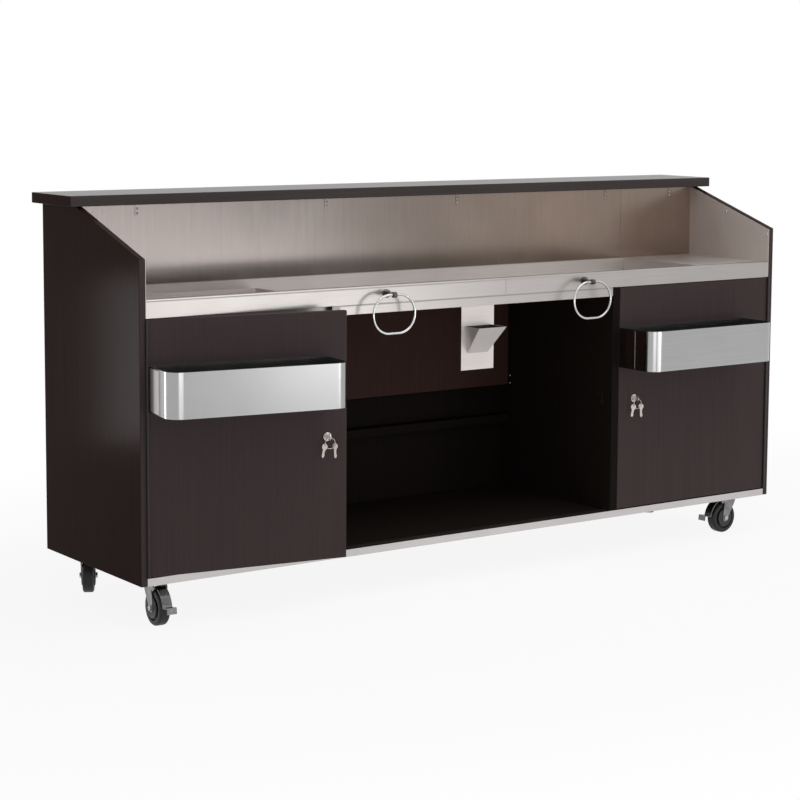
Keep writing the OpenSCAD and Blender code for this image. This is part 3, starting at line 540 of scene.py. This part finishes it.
def scatterTree(material, source):
    group = bpy.data.node_groups.new("scatter", "GeometryNodeTree")
    group.interface.new_socket("Geometry", in_out="INPUT", socket_type="NodeSocketGeometry")
    size = group.interface.new_socket("Size", in_out="INPUT", socket_type="NodeSocketFloat")
    group.interface.new_socket("Geometry", in_out="OUTPUT", socket_type="NodeSocketGeometry")
    tree = Tree(group)
    entry = tree.add("NodeGroupInput")
    aim = tree.add("GeometryNodeInputNamedAttribute", {"data_type": "FLOAT_VECTOR"}, {"Name": "aim"})
    turn = tree.add("FunctionNodeAlignRotationToVector", {"axis": "Z"}, {"Vector": aim})
    shape = tree.add("GeometryNodeObjectInfo", {}, {"Object": source}, "Geometry")
    copies = tree.add("GeometryNodeInstanceOnPoints", {}, {
        "Points": entry.pick("Geometry"), "Instance": shape, "Rotation": turn, "Scale": entry.pick("Size"),
    })
    real = tree.add("GeometryNodeRealizeInstances", {}, {"Geometry": copies})
    paint = tree.add("GeometryNodeSetMaterial", {}, {"Geometry": real, "Material": material})
    tree.add("NodeGroupOutput", {}, {"Geometry": paint})
    return group, size.identifier


def scatter(name, shape, spots, body, slot, size):
    source = bpy.data.objects.new(name + "Source", shape)
    points = bpy.data.meshes.new(name + "Points")
    points.from_pydata([tuple(spot) for spot, way in spots], [], [])
    aim = points.attributes.new("aim", "FLOAT_VECTOR", "POINT")
    aim.data.foreach_set("vector", [value for spot, way in spots for value in way])
    carrier = bpy.data.objects.new(name + "Carrier", points)
    bpy.context.scene.collection.objects.link(carrier)
    bpy.context.scene.collection.objects.link(source)
    group, sizeSocket = scatterTree(looks[slot], source)
    modifier = carrier.modifiers.new("scatter", "NODES")
    modifier.node_group = group
    modifier[sizeSocket] = size
    bpy.context.view_layer.update()
    settled = carrier.evaluated_get(bpy.context.evaluated_depsgraph_get())
    mesh = bpy.data.meshes.new_from_object(settled)
    carrier.modifiers.remove(modifier)
    bpy.data.objects.remove(carrier)
    bpy.data.objects.remove(source)
    addPiece(name, mesh, body, slot)


screwSets = {"cabinet": cabinetSpots(), **{door["body"]: railSpots(side) for side, door in doors.items()}}
for body, spots in screwSets.items():
    scatter(body + "_screws", headMesh(), spots, body, "chrome", screws["size"])
    scatter(body + "_screw_slots", crossMesh(), spots, body, "hinge_black", screws["size"])
print("stage 5: screws placed,", sum(len(spots) for spots in screwSets.values()))

# End plates lapped over the rails' ends
laps = {"back": 3.4, "front": -68, "low": 601, "high": 717, "thick": 0.8, "length": 519, "rounding": 0.0002}
for side, door in doors.items():
    for end, offset in (("hinge", -laps["thick"]), ("free", laps["length"])):
        x = door["railStart"] + offset
        face = oblong((laps["back"], laps["low"]), (laps["front"], laps["high"]))
        outline = [doorPoint(side, x, y, z) for y, z in face]
        mesh = slabMesh("railLap", outline, doorWay(side, 1, 0) * laps["thick"] / 1000, laps["rounding"])
        look = looks["stainlessLap" if (side, end) == ("left", "hinge") else "stainlessRail"]
        addPiece("%s_rail_%s_lap" % (side, end), mesh, door["body"], "stainless", look)

# Joint lines in the long steel sheets, and a painted shadow line under the apron's hem: lowest corner, highest
# corner and look
sheetJoints = {
    "apron_joint": ((1220, -0.12, 851), (1220.9, 0.1, 895), "seam"),
    "splash_joint": ((1990, 373.86, 902), (1990.9, 374.1, 1124), "seam"),
    # painted shadow: a grey band on the lip just under the apron's hem, where the hem's shade falls
    "lip_joint": ((632.4, 1.8, 843.2), (1639.6, 2.1, 847.9), "stainlessPaintedShade"),
}
jointRounding = 0.00004
for name, (low, high, look) in sheetJoints.items():
    outline = [rowPoint(x, low[1], z) for x, z in oblong((low[0], low[2]), (high[0], high[2]))]
    mesh = slabMesh(name, outline, Vector((0, (high[1] - low[1]) / 1000, 0)), jointRounding)
    addPiece(name, mesh, "cabinet", "stainless", looks[look])

# Angles under the apron that the shut doors stop against
stops = {
    "front": 19.2, "thick": 1.2, "flange": 3.4, "low": 824, "high": 847.8, "rounding": 0.0003,
    "spans": {"left_door_stop": (20.2, 606.8), "right_door_stop": (1665.2, 2299.8)},
}
for name, (start, end) in stops["spans"].items():
    back, under = stops["front"] + stops["thick"], stops["high"] - stops["thick"]
    outline = [
        rowPoint(start, y, z) for y, z in (
            (stops["flange"], under), (stops["front"], under), (stops["front"], stops["low"]),
            (back, stops["low"]), (back, stops["high"]), (stops["flange"], stops["high"]),
        )
    ]
    mesh = slabMesh(name, outline, Vector(((end - start) / 1000, 0, 0)), stops["rounding"])
    addPiece(name, mesh, "cabinet", "stainless", looks["stainlessPaintedShade"])

# The lip's end, folded over the front edge of the left bay wall
lipEnd = {
    "wall": 607, "right": 632.4, "back": 19, "low": 820, "high": 847.8, "thick": 1.0, "rounding": 0.0003,
}


def lipEndMesh():
    left, front = lipEnd["wall"] - lipEnd["thick"], -lipEnd["thick"]
    outline = [
        rowPoint(x, y, lipEnd["low"]) for x, y in (
            (left, front), (lipEnd["right"], front), (lipEnd["right"], 0),
            (lipEnd["wall"], 0), (lipEnd["wall"], lipEnd["back"]), (left, lipEnd["back"]),
        )
    ]
    rise = Vector((0, 0, (lipEnd["high"] - lipEnd["low"]) / 1000))
    return slabMesh("lipEnd", outline, rise, lipEnd["rounding"])


addPiece("bay_lip_end", lipEndMesh(), "cabinet", "stainless", looks["stainlessPaintedShade"])

# Painted shade: thin dark sheets inside the cap catcher's hopper, its back and both sides, where shade falls
hopperShade = {
    "middle": 1119.5, "rim": 48.6, "foot": 37.0, "top": 761.8, "low": 690, "back": 3.4, "lip": -66.0, "thick": 0.3,
}


def addHopperShade(name, outline, way):
    points = [rowPoint(hopperShade["middle"] + x, y, z) for x, y, z in outline]
    mesh = slabMesh("catcherShadeSheet", points, Vector(way) * hopperShade["thick"] / 1000)
    addPiece("catcher_lining_" + name, mesh, "cabinet", "hinge_black")


rim, foot, back, top, low = (hopperShade[key] for key in ("rim", "foot", "back", "top", "low"))
addHopperShade("back", [(-rim, back, top), (rim, back, top), (foot, back, low), (-foot, back, low)], (0, -1, 0))
for name, way in (("left", -1), ("right", 1)):
    outline = [(way * rim, back, top), (way * rim, hopperShade["lip"], top), (way * foot, back, low)]
    addHopperShade(name, outline, (-way, 0, 0))
print("stage 6: laps, joints, stops and lining placed")

# Spare keys: a flat split ring through the bow of the key in the lock, with two keys that hang apart on it
keys = {
    "ring": 15.0, "drop": 16.0, "wire": (0.9, 1.3), "around": 48, "wirePoints": 10,
    "thick": 2.2, "edge": 0.3, "bow": (7.6, 8.4), "bowSteps": 36, "hole": 2.2, "holePoints": 20, "holeUp": 5.5,
    "blade": 7.0, "notches": (0.0, 1.5, 0.6, 1.9, 0.9, 0.0), "plain": 6,  # uncut length at the tip
    "tip": ((-3.5, 3.4), (-1.9, 1.4), (0.4, 0.0), (2.3, 2.6)),  # across, and up from the end
    "turn": 50, "sag": 0.7,
    "hang": ((80, 3, 34), (-80, -12, 31)),  # place round the ring, lean and length of each key
}


def keyOutline(length):
    wide, tall = keys["bow"]
    half = keys["blade"] / 2
    start = math.asin(half / wide)
    sweep = 2 * math.pi - 2 * start
    turns = [math.pi - start - sweep * k / keys["bowSteps"] for k in range(keys["bowSteps"] + 1)]
    bow = [(wide * math.sin(a), tall * math.cos(a)) for a in turns]
    step = (length - keys["plain"] - tall) / len(keys["notches"])
    cuts = [(half - cut, -tall - step * (k + 0.5)) for k, cut in enumerate(keys["notches"])]
    return bow + [(x, y - length) for x, y in keys["tip"]] + list(reversed(cuts))


def keyMesh(length):
    curve = bpy.data.curves.new("keyOutline", "CURVE")
    curve.dimensions, curve.fill_mode = "2D", "BOTH"
    curve.extrude = keys["thick"] / 2 - keys["edge"]
    curve.bevel_depth, curve.bevel_resolution = keys["edge"], 1
    hole = [
        (keys["hole"] * math.cos(a), keys["holeUp"] + keys["hole"] * math.sin(a)) for a in angles(keys["holePoints"])
    ]
    for loop in (keyOutline(length), hole):
        spline = curve.splines.new("POLY")
        spline.points.add(len(loop) - 1)
        for point, (x, y) in zip(spline.points, loop):
            point.co = (x, y, 0, 1)
        spline.use_cyclic_u = True
    thing = bpy.data.objects.new("keyOutline", curve)
    bpy.context.scene.collection.objects.link(thing)
    bpy.context.view_layer.update()
    mesh = bpy.data.meshes.new_from_object(thing.evaluated_get(bpy.context.evaluated_depsgraph_get()))
    bpy.data.objects.remove(thing)
    return mesh


def keySet(side):
    node = side + "_spare_key"
    pivot = Vector(jointOf[side + "_keys_swing"]["pos_m"])
    along = doorWay(side, 1, 0) * doors[side]["mirror"]
    inward, up = doorWay(side, 0, 1), Vector((0, 0, 1))
    ringMiddle = pivot - up * keys["drop"] / 1000
    flat, deep = keys["wire"]
    made = bmesh.new()
    loops = []
    for a in angles(keys["around"]):
        out = along * math.sin(a) - up * math.cos(a)
        loops.append([
            made.verts.new(ringMiddle + (
                out * (keys["ring"] + flat * math.cos(b)) + inward * deep * math.sin(b)
            ) / 1000)
            for b in angles(keys["wirePoints"])
        ])
    bridge(made, loops, closed=True)
    turn = math.radians(keys["turn"])
    for place, lean, length in keys["hang"]:
        a, tilt = math.radians(place), math.radians(lean)
        out = along * math.sin(a) - up * math.cos(a)
        hole = ringMiddle + out * keys["ring"] / 1000 - up * keys["sag"] / 1000
        top = (up * math.cos(tilt) - along * math.sin(tilt)).normalized()
        facing = -along * math.sin(turn) - inward * math.cos(turn)
        wide = top.cross(facing).normalized()
        front = wide.cross(top).normalized()
        turned = Matrix((wide, top, front)).transposed().to_4x4()
        middle = hole - top * keys["holeUp"] / 1000
        mesh = keyMesh(length)
        mesh.transform(Matrix.Translation(middle) @ turned @ Matrix.Scale(0.001, 4))
        made.from_mesh(mesh)
        bpy.data.meshes.remove(mesh)
    mesh = closedMesh(made, side + "KeySet")
    mesh.materials.clear()
    addPiece(side + "_key_set", mesh, bodyOf[node], slotOf[node], looks["keyNickel"], [node])


for side in doors:
    keySet(side)
print("stage 7: key sets hung,", len(doors))

# Moulded hub covers on both faces of each wheel
hubs = {
    "offset": 0.0176, "around": 40,
    "profile": (
        (0.0095, 0.0), (0.0095, 0.0018), (0.0125, 0.0022), (0.0140, 0.0010), (0.0245, 0.0010),
        (0.0262, 0.0020), (0.0285, 0.0020), (0.0300, 0.0008), (0.0300, 0.0),
    ),
}


def hubMesh(place, axis):
    made = bmesh.new()
    for way in (1, -1):
        out = Vector(axis) * way
        rings = turnedRings(made, hubs["profile"], hubs["around"], place + out * hubs["offset"], out)
        bridge(made, rings, closed=True)
    return closedMesh(made, "hubCovers")


for caster in casters:
    roll = jointOf[caster + "_wheel_roll"]
    mesh = hubMesh(Vector(roll["pos_m"]), roll["axis"])
    addPiece(caster + "_hub_covers", mesh, caster + "_roll", "tyre", looks["hub"])
print("stage 8: hub covers placed,", len(casters))

# Perforated strainer over the ice bin's drain
strainer = {
    "middle": (354.2, 198.0, 625.0), "around": 48,
    "dome": (
        (0.0205, 0.0), (0.0205, 0.0006), (0.0185, 0.0011), (0.0130, 0.0014), (0.0060, 0.0016), (0.0004, 0.0016),
    ),
    "holeRings": ((0, 1), (5.5, 6), (10.5, 12), (15.5, 18)),  # radius and count
    "holeRadius": 0.0011, "holePoints": 12, "crown": 1.62, "fall": 0.0009,
}
drain = rowPoint(*strainer["middle"])


def strainerMesh():
    made = bmesh.new()
    rings = turnedRings(made, strainer["dome"], strainer["around"], drain, (0, 0, 1))
    bridge(made, rings)
    for ring in (rings[0], rings[-1]):
        made.faces.new(ring)
    return closedMesh(made, "strainer")


# painted shade: each hole is a dark disc on the dome, standing for the dark drain seen through it
def holeMesh():
    made = bmesh.new()
    bmesh.ops.create_circle(made, cap_ends=True, segments=strainer["holePoints"], radius=1.0)
    return plainMesh(made, "strainerHole")


def holePoint(radius, angle):
    height = strainer["crown"] - strainer["fall"] * radius * radius
    return drain + Vector((radius * math.cos(angle), radius * math.sin(angle), height)) / 1000


addPiece("drain_strainer", strainerMesh(), "cabinet", "chrome")
holes = [(holePoint(r, a), (0, 0, 1)) for r, count in strainer["holeRings"] for a in angles(count)]
scatter("drain_strainer_holes", holeMesh(), holes, "cabinet", "hinge_black", strainer["holeRadius"])
print("stage 9: strainer placed,", len(holes), "holes")

# Floor, room light and lamps. Camera, glossy and transmitted rays see a white room; the rest see a soft one.
room = {
    "white": (1, 1, 1, 1), "tint": (1.0, 0.985, 0.975, 1), "level": 0.54, "fromRight": 0.32, "fromFront": 0.42,
    "half": 30.0, "floorTone": (0.75, 0.75, 0.75, 1),
    "shadowShare": 0.10, "shadowOval": (0.6, 1, 0), "shadowFull": 0.9, "shadowEnd": 2.4,
}


def seenRays(tree):
    path = tree.add("ShaderNodeLightPath", output="Is Camera Ray")
    return path.larger(path.pick("Is Glossy Ray")).larger(path.pick("Is Transmission Ray"))


def buildFloor():
    mesh = bpy.data.meshes.new("floor")
    half = room["half"]
    mesh.from_pydata([(x, y, 0) for x, y in oblong((-half, -half), (half, half))], [], [(0, 1, 2, 3)])
    material = bpy.data.materials.new("floor")
    material.use_nodes = True
    tree = Tree(material.node_tree)
    oval = tree.stretched(room["shadowOval"])
    reach = tree.add("ShaderNodeVectorMath", {"operation": "LENGTH"}, {0: oval}, "Value")
    share = tree.add("ShaderNodeMapRange", {"interpolation_type": "SMOOTHSTEP"}, {
        "Value": reach, "From Min": room["shadowFull"], "From Max": room["shadowEnd"],
        "To Min": room["shadowShare"], "To Max": 0.0,
    })
    plain = tree.add("ShaderNodeBsdfDiffuse", {}, {"Color": room["floorTone"]})
    white = tree.add("ShaderNodeEmission", {}, {"Color": room["white"], "Strength": 1.0})
    both = tree.add("ShaderNodeMixShader", {}, {0: seenRays(tree) * (1 - share), 1: plain, 2: white})
    tree.add("ShaderNodeOutputMaterial", {}, {"Surface": both})
    mesh.materials.append(material)
    floor = bpy.data.objects.new("floor", mesh)
    bpy.context.scene.collection.objects.link(floor)


def buildRoom():
    world = bpy.data.worlds.new("room")
    bpy.context.scene.world = world
    world.use_nodes = True
    tree = Tree(world.node_tree)
    way = tree.add("ShaderNodeTexCoord", output="Generated")
    split = tree.add("ShaderNodeSeparateXYZ", {}, {0: way})
    level = split * room["fromRight"] - split.pick("Y") * room["fromFront"] + room["level"]
    seen = tree.add("ShaderNodeBackground", {}, {"Color": room["white"], "Strength": 1.0})
    lit = tree.add("ShaderNodeBackground", {}, {"Color": room["tint"], "Strength": level})
    both = tree.add("ShaderNodeMixShader", {}, {0: seenRays(tree), 1: lit, 2: seen})
    tree.add("ShaderNodeOutputWorld", {}, {"Surface": both})


# place, target, width, height and power of each lamp
lamps = {
    "lowFront": ((1.50, -4.3, 0.29), (1.50, 0.0, 0.29), 2.7, 0.56, 9.4),
    "lowLeft": ((-1.95, -4.3, 0.26), (-0.95, -0.45, 0.26), 2.3, 0.50, 8.7),
    "sideSheen": ((-2.6, 2.17, 0.38), (-1.17, -0.3, 0.76), 0.56, 0.64, 8.4),
    "apronFront": ((1.95, -4.3, 0.30), (0.0, -0.29, 0.87), 0.9, 0.24, 4.2),
    "highFront": ((1.00, -4.31, 0.76), (1.00, 0.0, 0.76), 1.3, 0.38, 3.6),
    "above": ((0.5, -1.4, 4.6), (0.2, 0.1, 0.8), 4.0, 2.6, 60.0),
}


def buildLamp(name, place, target, width, height, power):
    data = bpy.data.lights.new(name, "AREA")
    data.shape = "RECTANGLE"
    data.size, data.size_y = width, height
    data.energy = power
    lamp = bpy.data.objects.new(name, data)
    lamp.location = place
    lamp.rotation_euler = (Vector(target) - Vector(place)).to_track_quat("-Z", "Y").to_euler()
    lamp.visible_camera = False
    bpy.context.scene.collection.objects.link(lamp)


# The photograph's camera: its place in the cabinet's millimetres and the ways of its three axes
view = {
    "lens": 94.864, "sensor": 36.0, "shift": -0.1, "farthest": 100.0, "place": (-2611.69, -4887.18, 1471.09),
    "axes": (
        (0.81734363, -0.57612373, 0.00555271),  # right
        (0.06018574, 0.09496213, 0.99365984),  # up
        (-0.57299831, -0.81182735, 0.11229112),  # back
    ),
}


def buildCamera():
    data = bpy.data.cameras.new("camera")
    data.sensor_width = view["sensor"]
    data.lens = view["lens"]
    data.shift_y = view["shift"]
    data.clip_end = view["farthest"]
    camera = bpy.data.objects.new("camera", data)
    turned = Matrix(view["axes"]).transposed().to_4x4()
    camera.matrix_world = Matrix.Translation(rowPoint(*view["place"])) @ turned
    bpy.context.scene.collection.objects.link(camera)
    bpy.context.scene.camera = camera


buildFloor()
buildRoom()
for name, values in lamps.items():
    buildLamp(name, *values)
buildCamera()
bpy.context.scene.view_settings.view_transform = "Standard"
print("stage 10: floor, room, lamps and camera set")
